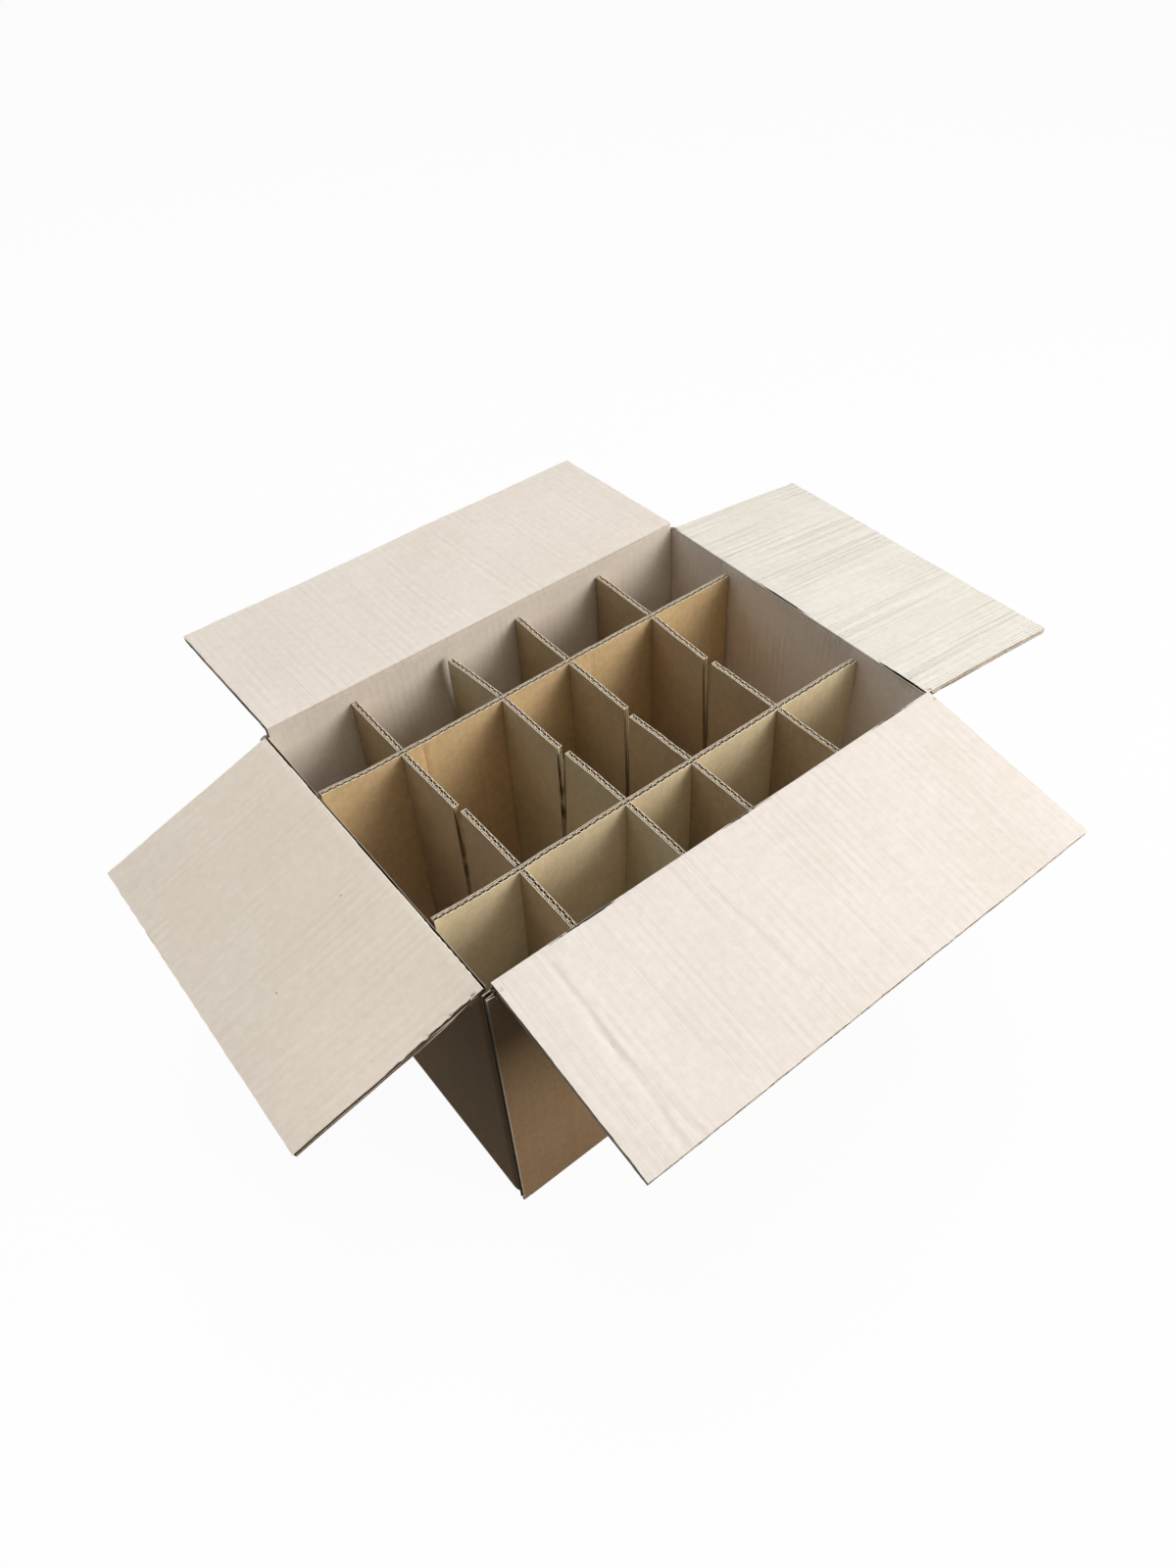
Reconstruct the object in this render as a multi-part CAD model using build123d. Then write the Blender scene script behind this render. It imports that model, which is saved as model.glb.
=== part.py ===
from build123d import *
import math
import os

# A corrugated shipping box for bottles. It stands open: its four top flaps are folded
# outwards, and two slotted divider inserts stand in it and make fifteen cells.
# Millimetres. The origin is the middle of the base on the ground, +X runs along the
# long front wall to the right, +Y from the front wall to the back wall, +Z is up.

# The board: three liners, with a coarse and a fine fluted layer between them
LINER = 0.4
COARSE_LAYER = 3.1
FINE_LAYER = 1.7
BOARD = 3 * LINER + COARSE_LAYER + FINE_LAYER
COARSE_PITCH = 7.9
FINE_PITCH = 6.3
COARSE_MEDIUM = 0.3
FINE_MEDIUM = 0.25
COARSE_WEB = 0.7
FINE_LAND = 1.2
FLUTE_DEPTH = 12.0
FLUTE_MARGIN = 1.0

# The box, measured inside its walls; the height runs from the ground to the crease of
# the long flaps
INNER_LENGTH = 457.0
INNER_WIDTH = 330.0
LONG_FOLD_HEIGHT = 333.0
OUTER_CORNER_RADIUS = 5.0
BASE_EDGE_RADIUS = 3.0

# Flaps: slots about one board wide free each flap, and the end flaps fold in first,
# one board lower than the long flaps
LAYER_GAP = 0.3
LONG_FLAP_SIDE_GAP = 2.5
END_FLAP_SIDE_GAP = 2.5
MEETING_GAP = 1.0
CREASE_GAP = 0.3
OPEN_ANGLE_LIMIT = 60.0
FRONT_DROOP_ANGLE = 11.0
BACK_DROOP_ANGLE = 2.0
LEFT_DROOP_ANGLE = 18.5
RIGHT_DROOP_ANGLE = 7.0

# The glued joint: a tab on the left end wall, stuck behind the front wall
TAB_WIDTH = 35.0
TAB_THICKNESS = 4.0
TAB_END_SLOPE = 9.0
TAB_TOP_MARGIN = 12.0
TAB_BASE_MARGIN = 6.0

# Dividers: two inserts, each a long board with four cross boards halved onto it
DIVIDER_HEADROOM = 6.1
DIVIDER_REST_GAP = 0.3
LONG_DIVIDER_END_GAP = 0.8
CROSS_WALL_GAP = 0.8
CROSS_MIDDLE_GAP = 4.4
INSERT_SIDES = {"back": 1, "front": -1}
SLOT_SIDE_GAP = 0.5
SLOT_END_GAP = 1.0
COLUMNS = 5
CROSS_SHIFTS = (-8.3, 4.3, -11.9, -5.1)

OUTER_LENGTH = INNER_LENGTH + 2 * BOARD
OUTER_WIDTH = INNER_WIDTH + 2 * BOARD
HALF_BOARD = BOARD / 2
LONG_PIVOT_Y = INNER_WIDTH / 2 + HALF_BOARD
END_PIVOT_X = INNER_LENGTH / 2 + HALF_BOARD
END_FOLD_HEIGHT = LONG_FOLD_HEIGHT - BOARD - LAYER_GAP
FLAP_LENGTH = LONG_PIVOT_Y - MEETING_GAP / 2
LONG_FLAP_WIDTH = INNER_LENGTH - 2 * LONG_FLAP_SIDE_GAP
END_FLAP_WIDTH = INNER_WIDTH - 2 * END_FLAP_SIDE_GAP
END_BASE_Z = BOARD + LAYER_GAP
FLOOR_Z = END_BASE_Z + BOARD
CREASE_SLOPE = math.tan(math.radians((90.0 + OPEN_ANGLE_LIMIT) / 2))
DIVIDER_BASE_Z = FLOOR_Z + DIVIDER_REST_GAP
DIVIDER_HEIGHT = END_FOLD_HEIGHT - HALF_BOARD - DIVIDER_HEADROOM - DIVIDER_BASE_Z
CROSS_LENGTH = (INNER_WIDTH - CROSS_MIDDLE_GAP) / 2 - CROSS_WALL_GAP


def prism_along_x(points, length):
    """Solid with the given outline in Y and Z, centred on X."""
    with BuildPart() as prism:
        with BuildSketch(Plane.YZ):
            with BuildLine():
                Polyline(*points, close=True)
            make_face()
        extrude(amount=length / 2, both=True)
    return prism.part


def wall_ring():
    """The four upright walls, from the level of the folded end flaps up."""
    with BuildPart() as ring:
        with BuildSketch(Plane.XY.offset(END_BASE_Z)):
            outline = Rectangle(OUTER_LENGTH, OUTER_WIDTH)
            corners = outline.vertices().sort_by(Axis.X)
            left_corners = corners[:2].sort_by(Axis.Y)
            folded = list(corners[2:]) + [left_corners[-1]]
            fillet(folded, OUTER_CORNER_RADIUS)
            Rectangle(INNER_LENGTH, INNER_WIDTH, mode=Mode.SUBTRACT)
        extrude(amount=LONG_FOLD_HEIGHT - END_BASE_Z)
    return ring.part


def joint_groove():
    """The hollow beside the left wall's fold, where it turns in behind the front wall."""
    square = OUTER_CORNER_RADIUS
    corner_x = -OUTER_LENGTH / 2
    corner_y = -INNER_WIDTH / 2
    with BuildPart() as groove:
        with BuildSketch():
            with Locations((corner_x + square / 2, corner_y + square / 2)):
                Rectangle(square, square)
            with Locations((corner_x + square, corner_y + square)):
                Circle(square, mode=Mode.SUBTRACT)
        extrude(amount=LONG_FOLD_HEIGHT + BOARD)
    return groove.part


def glue_tab():
    """The tab that the left end wall carries, flat on the inside of the front wall."""
    root_x = -INNER_LENGTH / 2
    tip_x = root_x + TAB_WIDTH
    low = FLOOR_Z + TAB_BASE_MARGIN
    high = END_FOLD_HEIGHT - TAB_TOP_MARGIN
    with BuildPart() as tab:
        with BuildSketch(Plane.XZ.offset(INNER_WIDTH / 2)):
            with BuildLine():
                Polyline(
                    (root_x - HALF_BOARD, low),
                    (tip_x, low + TAB_END_SLOPE),
                    (tip_x, high - TAB_END_SLOPE),
                    (root_x - HALF_BOARD, high),
                    close=True,
                )
            make_face()
        extrude(amount=-TAB_THICKNESS)
    return tab.part


def bottom_long_flap(side):
    """Outer bottom flap with the foot of its long wall, rounded where the board folds."""
    inner_y = MEETING_GAP / 2
    outer_y = OUTER_WIDTH / 2
    foot_inner_y = INNER_WIDTH / 2
    foot_top = END_BASE_Z + BASE_EDGE_RADIUS
    flap = prism_along_x(
        [
            (side * inner_y, 0),
            (side * outer_y, 0),
            (side * outer_y, foot_top),
            (side * foot_inner_y, foot_top),
            (side * foot_inner_y, BOARD),
            (side * inner_y, BOARD),
        ],
        LONG_FLAP_WIDTH,
    )
    fold_edges = flap.edges().filter_by(Axis.X).group_by(Axis.Z)[0]
    fold_edge = fold_edges.sort_by(Axis.Y)[-1 if side > 0 else 0]
    return fillet(fold_edge, BASE_EDGE_RADIUS)


def bottom_end_flap(side):
    """Inner bottom flap, on top of the two long ones."""
    root_x = INNER_LENGTH / 2 + HALF_BOARD
    tip_x = END_PIVOT_X - FLAP_LENGTH
    flap = Box(root_x - tip_x, END_FLAP_WIDTH, BOARD)
    return flap.translate((side * (root_x + tip_x) / 2, 0, END_BASE_Z + HALF_BOARD))


def crease_cut(length, pivot_distance, fold_height):
    """What is taken off the top of a wall: the board is pinched to a line at the crease."""
    reach = HALF_BOARD + 1
    points = [
        (-pivot_distance - reach, fold_height - CREASE_GAP - reach * CREASE_SLOPE),
        (-pivot_distance, fold_height - CREASE_GAP),
        (-pivot_distance + HALF_BOARD, fold_height - CREASE_GAP - HALF_BOARD),
        (-pivot_distance + HALF_BOARD, LONG_FOLD_HEIGHT + BOARD),
        (-pivot_distance - reach, LONG_FOLD_HEIGHT + BOARD),
    ]
    return prism_along_x(points, length)


def carton_body():
    """Walls, glued joint and the four closed bottom flaps, one folded blank."""
    ring = wall_ring()
    base_edges = ring.edges().group_by(Axis.Z)[0]
    outer_edges = [edge for edge in base_edges if not runs_inside(edge)]
    body = fillet(outer_edges, BASE_EDGE_RADIUS)
    body -= joint_groove()
    long_cut = crease_cut(OUTER_LENGTH + 2, LONG_PIVOT_Y, LONG_FOLD_HEIGHT)
    end_cut = crease_cut(OUTER_WIDTH + 2, END_PIVOT_X, END_FOLD_HEIGHT)
    body -= long_cut
    body -= long_cut.rotate(Axis.Z, 180)
    body -= end_cut.rotate(Axis.Z, 90)
    body -= end_cut.rotate(Axis.Z, -90)
    body += glue_tab()
    for side in (1, -1):
        body += bottom_long_flap(side)
        body += bottom_end_flap(side)
    return body


def runs_inside(edge):
    """True for an edge of the ring's inner outline."""
    middle = edge.center()
    inside_x = abs(middle.X) < OUTER_LENGTH / 2 - HALF_BOARD
    inside_y = abs(middle.Y) < OUTER_WIDTH / 2 - HALF_BOARD
    return inside_x and inside_y


def top_flap(width, pivot_distance, fold_height, droop, turn):
    """A top flap, drawn upright on its crease and then folded outwards to its droop."""
    upright = prism_along_x(
        [
            (0, CREASE_GAP),
            (HALF_BOARD, CREASE_GAP + HALF_BOARD),
            (HALF_BOARD, FLAP_LENGTH),
            (-HALF_BOARD, FLAP_LENGTH),
            (-HALF_BOARD, CREASE_GAP + HALF_BOARD * CREASE_SLOPE),
        ],
        width,
    )
    folded = upright.rotate(Axis.X, 90 + droop)
    placed = folded.translate((0, -pivot_distance, fold_height))
    return placed.rotate(Axis.Z, turn)


def flute(middle_x, base_y, apex_y, base_width):
    """Outline of one flute's hollow, a triangle between the medium and a liner."""
    return Polyline(
        (middle_x - base_width / 2, base_y),
        (middle_x + base_width / 2, base_y),
        (middle_x, apex_y),
        close=True,
    )


def flute_row(length, pitch, base_y, apex_y, base_width, phase):
    """The hollows of one side of a fluted layer, all along a board."""
    reach = length / 2 - FLUTE_MARGIN - base_width / 2
    count = int((reach - phase) // pitch)
    back_count = int((reach + phase) // pitch)
    steps = range(-back_count, count + 1)
    return [flute(phase + step * pitch, base_y, apex_y, base_width) for step in steps]


def flutes(length):
    """Every hollow in a board's section; the coarse layer lies on the low side of Y."""
    coarse_low = -HALF_BOARD + LINER
    coarse_high = coarse_low + COARSE_LAYER
    coarse_rise = COARSE_LAYER - COARSE_MEDIUM
    overlap = 2 - COARSE_LAYER / coarse_rise
    coarse_base = 2 * (COARSE_PITCH / 2 - COARSE_WEB) / overlap
    fine_low = coarse_high + LINER
    fine_high = fine_low + FINE_LAYER
    rows = flute_row(
        length, COARSE_PITCH, coarse_low, coarse_high - COARSE_MEDIUM, coarse_base, 0
    )
    rows += flute_row(
        length,
        COARSE_PITCH,
        coarse_high,
        coarse_low + COARSE_MEDIUM,
        coarse_base,
        COARSE_PITCH / 2,
    )
    rows += flute_row(
        length, FINE_PITCH, fine_high, fine_low + FINE_MEDIUM, FINE_PITCH - FINE_LAND, 0
    )
    return rows


def fluted_board(length, clear_from, clear_to):
    """Upright board along X on the ground, its flutes open at the top edge.

    Flutes that would run into a slot between clear_from and clear_to are left out.
    """
    outline = Wire(Polyline(
        (-length / 2, -HALF_BOARD),
        (length / 2, -HALF_BOARD),
        (length / 2, HALF_BOARD),
        (-length / 2, HALF_BOARD),
        close=True,
    ).edges())
    hollows = []
    for hollow in flutes(length):
        box = hollow.bounding_box()
        beside_slot = box.max.X < clear_from or box.min.X > clear_to
        if beside_slot:
            hollows.append(Wire(hollow.edges()))
    section = Face(outline, hollows)
    plain_height = DIVIDER_HEIGHT - FLUTE_DEPTH
    edge_part = extrude(section, FLUTE_DEPTH, dir=(0, 0, 1)).translate((0, 0, plain_height))
    plain_part = Box(
        length, BOARD, plain_height, align=(Align.CENTER, Align.CENTER, Align.MIN)
    )
    return plain_part + edge_part


def slot_box(middle_x, low, high):
    """The opening of a slot, one board wide with play on both sides."""
    width = BOARD + 2 * SLOT_SIDE_GAP
    box = Box(width, 2 * BOARD, high - low, align=(Align.CENTER, Align.CENTER, Align.MIN))
    return box.translate((middle_x, 0, low))


def cross_positions():
    """Where the cross boards stand along the long board, uneven as they were slotted."""
    column = INNER_LENGTH / COLUMNS
    first = -INNER_LENGTH / 2
    return [first + (i + 1) * column + shift for i, shift in enumerate(CROSS_SHIFTS)]


def long_divider():
    """Long board of an insert: its slots open at the bottom and ride on the cross boards."""
    length = INNER_LENGTH - 2 * LONG_DIVIDER_END_GAP
    board = fluted_board(length, 0, 0)
    slot_top = DIVIDER_HEIGHT / 2 + SLOT_END_GAP
    for x in cross_positions():
        board -= slot_box(x, -1, slot_top)
    return board


def cross_divider():
    """Cross board of an insert, drawn along X: its one slot opens at the top."""
    clear = HALF_BOARD + SLOT_SIDE_GAP + FLUTE_MARGIN
    board = fluted_board(CROSS_LENGTH, -clear, clear)
    slot_base = DIVIDER_HEIGHT / 2 - SLOT_END_GAP
    board -= slot_box(0, slot_base, DIVIDER_HEIGHT + 1)
    return board


def build_parts():
    """Every piece in its place, by name."""
    insert_y = INNER_WIDTH / 2 - CROSS_WALL_GAP - CROSS_LENGTH / 2
    parts = {"carton_body": carton_body()}
    long_place = (LONG_FLAP_WIDTH, LONG_PIVOT_Y, LONG_FOLD_HEIGHT)
    end_place = (END_FLAP_WIDTH, END_PIVOT_X, END_FOLD_HEIGHT)
    parts["front_flap"] = top_flap(*long_place, FRONT_DROOP_ANGLE, 0)
    parts["back_flap"] = top_flap(*long_place, BACK_DROOP_ANGLE, 180)
    parts["left_end_flap"] = top_flap(*end_place, LEFT_DROOP_ANGLE, -90)
    parts["right_end_flap"] = top_flap(*end_place, RIGHT_DROOP_ANGLE, 90)
    long_board = long_divider()
    cross_board = cross_divider().rotate(Axis.Z, 90)
    for name, side in INSERT_SIDES.items():
        y = side * insert_y
        parts[f"long_divider_{name}"] = long_board.translate((0, y, DIVIDER_BASE_Z))
        for number, x in enumerate(cross_positions(), start=1):
            placed = cross_board.translate((x, y, DIVIDER_BASE_Z))
            parts[f"cross_divider_{name}_{number}"] = placed
    return parts


os.makedirs("parts", exist_ok=True)
for node, shape in build_parts().items():
    export_step(shape, f"parts/{node}.step")
    box = shape.bounding_box()
    print(node, round(shape.volume), [round(v, 2) for v in (*box.min, *box.max)])
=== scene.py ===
import math

import bpy
import numpy as np
from mathutils import Matrix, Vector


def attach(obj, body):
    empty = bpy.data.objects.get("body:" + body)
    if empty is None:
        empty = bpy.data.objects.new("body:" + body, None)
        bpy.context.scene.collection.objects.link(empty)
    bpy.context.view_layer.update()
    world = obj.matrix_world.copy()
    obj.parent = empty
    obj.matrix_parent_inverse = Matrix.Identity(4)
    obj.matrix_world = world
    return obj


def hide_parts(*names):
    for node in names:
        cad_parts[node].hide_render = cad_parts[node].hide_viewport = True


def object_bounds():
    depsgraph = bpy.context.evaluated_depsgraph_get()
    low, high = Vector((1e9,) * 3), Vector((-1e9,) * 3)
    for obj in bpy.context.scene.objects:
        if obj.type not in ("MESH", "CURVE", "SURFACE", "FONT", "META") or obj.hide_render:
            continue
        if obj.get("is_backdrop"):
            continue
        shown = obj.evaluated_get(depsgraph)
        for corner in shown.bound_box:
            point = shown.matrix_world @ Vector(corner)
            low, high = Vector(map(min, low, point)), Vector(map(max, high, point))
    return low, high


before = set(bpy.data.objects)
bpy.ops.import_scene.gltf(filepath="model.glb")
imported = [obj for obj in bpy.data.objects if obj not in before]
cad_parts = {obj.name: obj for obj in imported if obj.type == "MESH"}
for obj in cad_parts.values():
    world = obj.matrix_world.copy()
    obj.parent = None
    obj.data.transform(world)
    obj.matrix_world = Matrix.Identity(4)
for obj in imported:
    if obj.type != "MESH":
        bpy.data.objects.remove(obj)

cad_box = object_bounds()

# An open corrugated box for bottles. Lengths are millimetres until a mesh is made.
# Every sheet of board is first laid out flat: a runs across the flutes, b along them,
# c through the board, with +3 on the side of the coarse flutes and -3 on the fine side.

MM = 0.001

# The board: half its thickness, its liners, and its two fluted layers, each with the
# flutes' pitch, middle height and swing and the thickness of the paper.
HALF = 3.0
BOARD = 2 * HALF
LINER = 0.75
MIDDLE_LINER = (-1.1, -0.45)
COARSE_PITCH, COARSE_MIDDLE, COARSE_SWING, COARSE_SKIN = 7.9, 0.98, 1.25, 0.62
FINE_PITCH, FINE_MIDDLE, FINE_SWING, FINE_SKIN = 6.3, -1.68, 0.60, 0.45
SEEN_STEP, HIDDEN_STEP = 2.6, 5.2

# The carton: half sizes inside and outside, the creases and their hinges, the flaps.
INNER_X, INNER_Y = 228.5, 165.0
OUTER_X, OUTER_Y = INNER_X + BOARD, INNER_Y + BOARD
LONG_FOLD, END_FOLD = 333.0, 326.7
LONG_PIVOT, END_PIVOT = INNER_Y + HALF, INNER_X + HALF
LAYER_GAP = 0.3
WALL_FOOT, CORNER_FOOT = BOARD + LAYER_GAP, 0.6
CREASE_GAP = 0.3
CREASE_SLOPE = math.tan(math.radians(75))
LONG_FLAP_HALF, END_FLAP_HALF = 226.0, 162.5
FLAP_REACH = 167.5
FOOT_ROUNDING = 3.0

# Where the folded strip changes: the ends of the long creases, the corner posts and
# their heights, the joint's first, and the lower corners of the foot.
LONG_CREASE_END = 227.9
POST_X, POST_Y = 227.0, 163.2
JOINT_POST, POST = 327.0, 325.0
CORNER_FOOT_X = 226.2
CORNER_POINTS = 9
# The raw edge at the joint, and how far the flutes stay behind the cut edges.
JOINT_EDGE, CORE_SIDE_GAP, CORE_TOP_GAP = 0.7, 3.0, 1.5

# The glued tab, with the faces of its three layers along y.
TAB_START, TAB_LENGTH, TAB_SLANT = -231.5, 38.0, 9.0
TAB_FOOT, TAB_TOP = 18.3, 314.7
TAB_FACES = (-165.4, -164.98, -161.4, -161.0)

# The papers over a crease: how far their skins lie from its pivot, and their thickness.
INNER_FOLD, OUTER_FOLD, FOLD_SKIN = 2.87, 2.97, 0.4

# The dividers, standing on the bottom flaps.
DIVIDER_FOOT, DIVIDER_HEIGHT = 12.6, 305.0
DIVIDER_Y = 83.2
LONG_DIVIDER_HALF, CROSS_DIVIDER_HALF = 227.7, 81.0
CROSS_X = (-145.4, -41.4, 33.8, 132.0)
SLOT_HALF = 3.5
BEND_FOOT = 150.0

# Places of a piece's finishes: the two liners, the flutes' paper (darkened with painted shade for
# the hollows), cut edges.
PALE, KRAFT, HOLLOW, EDGE = 0, 1, 2, 3


# ---- small shaping rules


def smooth(x, low, high):
    """0 below low, 1 above high, with an easy s-curve between: 3t^2 - 2t^3."""
    t = np.clip((x - low) / (high - low), 0.0, 1.0)
    return t * t * (3.0 - 2.0 * t)


def ripple(x, y, seed, size):
    """A soft random swell over a plane: eight sine waves of mixed headings and lengths
    near `size`, each with its own phase, averaged. Stays within about -1 to 1."""
    rng = np.random.default_rng(seed)
    total = 0.0
    for _ in range(8):
        heading = rng.uniform(0, math.pi)
        wave = size * rng.uniform(0.6, 1.7)
        run = x * math.cos(heading) + y * math.sin(heading)
        total = total + np.sin(2 * math.pi * run / wave + rng.uniform(0, 2 * math.pi))
    return total / 4.0


def crease(a, b, start, end, depth, width):
    """A fold mark on a sheet: a valley with a low ridge beside it, along the line from
    start to end. Height is depth times (-exp(-(d/w)^2) + half exp(-((d-1.6w)/w)^2)),
    d being the distance from the line, and it dies away past both ends."""
    ax, ay = start
    dx, dy = end[0] - ax, end[1] - ay
    length = math.hypot(dx, dy)
    along = ((a - ax) * dx + (b - ay) * dy) / length
    across = ((a - ax) * -dy + (b - ay) * dx) / length
    across = across + 0.7 * np.sin(along / 11.0) + 0.4 * np.sin(along / 4.3)
    fade = smooth(along, -4.0, 10.0) * (1.0 - smooth(along, length - 10.0, length + 4.0))
    valley = -np.exp(-((across / width) ** 2))
    ridge = 0.5 * np.exp(-(((across - 1.6 * width) / width) ** 2))
    return depth * fade * (valley + ridge)


# ---- meshes from grids


def grid_quads(rows, columns):
    """Four-cornered faces between the points of a grid stored row after row, turned
    to face up when columns run along +a and rows along +b."""
    first = (np.arange(rows - 1)[:, None] * columns + np.arange(columns - 1)).ravel()
    return np.stack([first, first + 1, first + columns + 1, first + columns], axis=1)


def rim_loop(rows, columns):
    """The points round the edge of a grid, anticlockwise seen from above."""
    index = np.arange(rows * columns).reshape(rows, columns)
    return np.concatenate(
        [index[0, :-1], index[:-1, -1], index[-1, :0:-1], index[:0:-1, 0]]
    )


def closed_faces(rows, columns):
    """Faces of a closed sheet: the upper grid, the lower one, a band round the rim."""
    count = rows * columns
    quads = grid_quads(rows, columns)
    loop = rim_loop(rows, columns)
    after = np.roll(loop, -1)
    band = np.stack([after, loop, loop + count, after + count], axis=1)
    return np.concatenate([quads, quads[:, ::-1] + count, band])


def slab(a, t, low, high, foot, top, kinds):
    """A closed thin sheet. The upper grid has c = high(a), the lower one c = low(a);
    on both, b = foot(c) + t (top(c) - foot(c)), so its ends may be slanted. kinds names
    the finishes of the upper and lower grid, the band at top and bottom, and both ends."""
    a_grid, t_grid = np.meshgrid(a, t)
    sides = []
    for c_line in (high, low):
        c_grid = np.broadcast_to(c_line, a_grid.shape).astype(float)
        b_low, b_high = foot(a_grid, c_grid), top(a_grid, c_grid)
        sides.append(np.stack([a_grid, b_low + t_grid * (b_high - b_low), c_grid], axis=2))
    points = np.concatenate([side.reshape(-1, 3) for side in sides])
    rows, columns = a_grid.shape
    spans = 2 * [(rows - 1) * (columns - 1)] + 2 * [columns - 1, rows - 1]
    return points, closed_faces(rows, columns), np.repeat([*kinds, *kinds[2:]], spans)


def level(value):
    """A rule that gives the same height everywhere."""
    return lambda a, c: np.full_like(c, value)


def steps(start, end, size):
    """Evenly spaced values from start to end, at most size apart."""
    return np.linspace(start, end, max(2, int(math.ceil(abs(end - start) / size)) + 1))


def board(start, end, foot, top, rows, inner_rows, side=HOLLOW):
    """The five papers of double-wall board from a = start to a = end: three flat liners
    and two fluted papers, c = middle + swing cos(2 pi a / pitch). rows are the upper
    liner's, inner_rows the others', and side is the finish of the liners' cut ends."""
    a = steps(start, end, SEEN_STEP)
    lower_a = steps(start, end, HIDDEN_STEP)
    papers = [
        slab(a, rows, HALF - LINER, HALF, foot, top, (PALE, HOLLOW, EDGE, side)),
        slab(lower_a, inner_rows, *MIDDLE_LINER, foot, top, (HOLLOW, HOLLOW, EDGE, side)),
        slab(lower_a, inner_rows, -HALF, LINER - HALF, foot, top, (HOLLOW, KRAFT, EDGE, side)),
    ]
    waves = (
        (COARSE_PITCH, COARSE_MIDDLE, -COARSE_SWING, COARSE_SKIN),
        (FINE_PITCH, FINE_MIDDLE, FINE_SWING, FINE_SKIN),
    )
    for pitch, middle, swing, skin in waves:
        fine_a = steps(start, end, pitch / 8)
        line = middle + swing * np.cos(2 * math.pi * fine_a / pitch)
        low, high = line - skin / 2, line + skin / 2
        kinds = (HOLLOW, HOLLOW, EDGE, HOLLOW)
        papers.append(slab(fine_a, inner_rows, low, high, foot, top, kinds))
    return papers


def closed_end(a, foot, top, rows, kind=KRAFT):
    """The side of the last flute, which closes a board's end."""
    ends = np.array([a - 0.45, a + 0.45])
    return slab(ends, rows, -2.5, 2.5, foot, top, (kind, kind, EDGE, kind))


def add_object(name, data):
    """A new object in the scene."""
    thing = bpy.data.objects.new(name, data)
    bpy.context.scene.collection.objects.link(thing)
    return thing


def make_piece(name, papers, place, finishes, on_sheet=None):
    """One object from its closed papers. place() turns flat points into the box's own
    frame. The finishes read each point's place on the flat sheet, given as on_sheet
    where the papers' own points aren't flat."""
    flat, faces, kinds, count = [], [], [], 0
    for points, quads, kind in papers:
        flat.append(points)
        faces.append(quads + count)
        kinds.append(np.broadcast_to(kind, len(quads)))
        count += len(points)
    flat = np.concatenate(flat)
    faces = np.concatenate(faces)
    world = place(flat) * MM
    mesh = bpy.data.meshes.new(name)
    mesh.vertices.add(len(world))
    mesh.vertices.foreach_set("co", world.astype(np.float32).ravel())
    mesh.loops.add(faces.size)
    mesh.loops.foreach_set("vertex_index", faces.astype(np.int32).ravel())
    mesh.polygons.add(len(faces))
    mesh.polygons.foreach_set("loop_start", np.arange(0, faces.size, 4, dtype=np.int32))
    mesh.polygons.foreach_set("material_index", np.concatenate(kinds).astype(np.int32))
    mesh.polygons.foreach_set("use_smooth", np.ones(len(faces), dtype=bool))
    mesh.update(calc_edges=True)
    on_sheet = flat if on_sheet is None else on_sheet
    attribute = mesh.attributes.new("flat_place", "FLOAT_VECTOR", "POINT")
    attribute.data.foreach_set("vector", (on_sheet * MM).astype(np.float32).ravel())
    mesh.set_sharp_from_angle(angle=math.radians(40))
    for finish in finishes:
        mesh.materials.append(finish)
    return add_object(name, mesh)


# ---- finishes


class Nodes:
    """A short way to write the nodes of a material or of the world, its owner."""

    def __init__(self, owner):
        owner.use_nodes = True
        self.tree = owner.node_tree
        self.shader = self.tree.nodes.get("Principled BSDF")

    def add(self, kind, inputs=(), **settings):
        node = self.tree.nodes.new(kind)
        for key, value in settings.items():
            setattr(node, key, value)
        for key, value in dict(inputs).items():
            self.put(value, node.inputs[key])
        return node

    def put(self, value, socket):
        if isinstance(value, bpy.types.NodeSocket):
            self.tree.links.new(value, socket)
        else:
            socket.default_value = value

    def ramp(self, value, low, high):
        """0 up to low, 1 from high on, and straight between."""
        ends = {"Value": value, "From Min": low, "From Max": high}
        return self.add("ShaderNodeMapRange", ends).outputs["Result"]

    def math(self, operation, first, second=0.0, third=0.0):
        node = self.add("ShaderNodeMath", operation=operation)
        for socket, value in zip(node.inputs, (first, second, third)):
            self.put(value, socket)
        return node.outputs[0]

    def times(self, first, second):
        return self.math("MULTIPLY", first, second)

    def plus(self, first, second):
        return self.math("ADD", first, second)

    def minus(self, first, second):
        return self.math("SUBTRACT", first, second)

    def noise(self, vector, scale, detail=3.0, roughness=0.55):
        node = self.add(
            "ShaderNodeTexNoise",
            {"Vector": vector, "Scale": scale, "Detail": detail, "Roughness": roughness},
        )
        return node.outputs["Fac"]

    def stretched(self, vector, scale):
        node = self.add("ShaderNodeMapping", {"Vector": vector, "Scale": scale})
        return node.outputs["Vector"]

    def mix(self, factor, first, second):
        node = self.add("ShaderNodeMix", data_type="RGBA")
        self.put(factor, node.inputs["Factor"])
        self.put(first, node.inputs[6])
        self.put(second, node.inputs[7])
        return node.outputs[2]

    def bump(self, height, distance, below=None):
        node = self.add("ShaderNodeBump", {"Height": height, "Distance": distance})
        if below is not None:
            self.put(below, node.inputs["Normal"])
        return node.outputs["Normal"]


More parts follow.
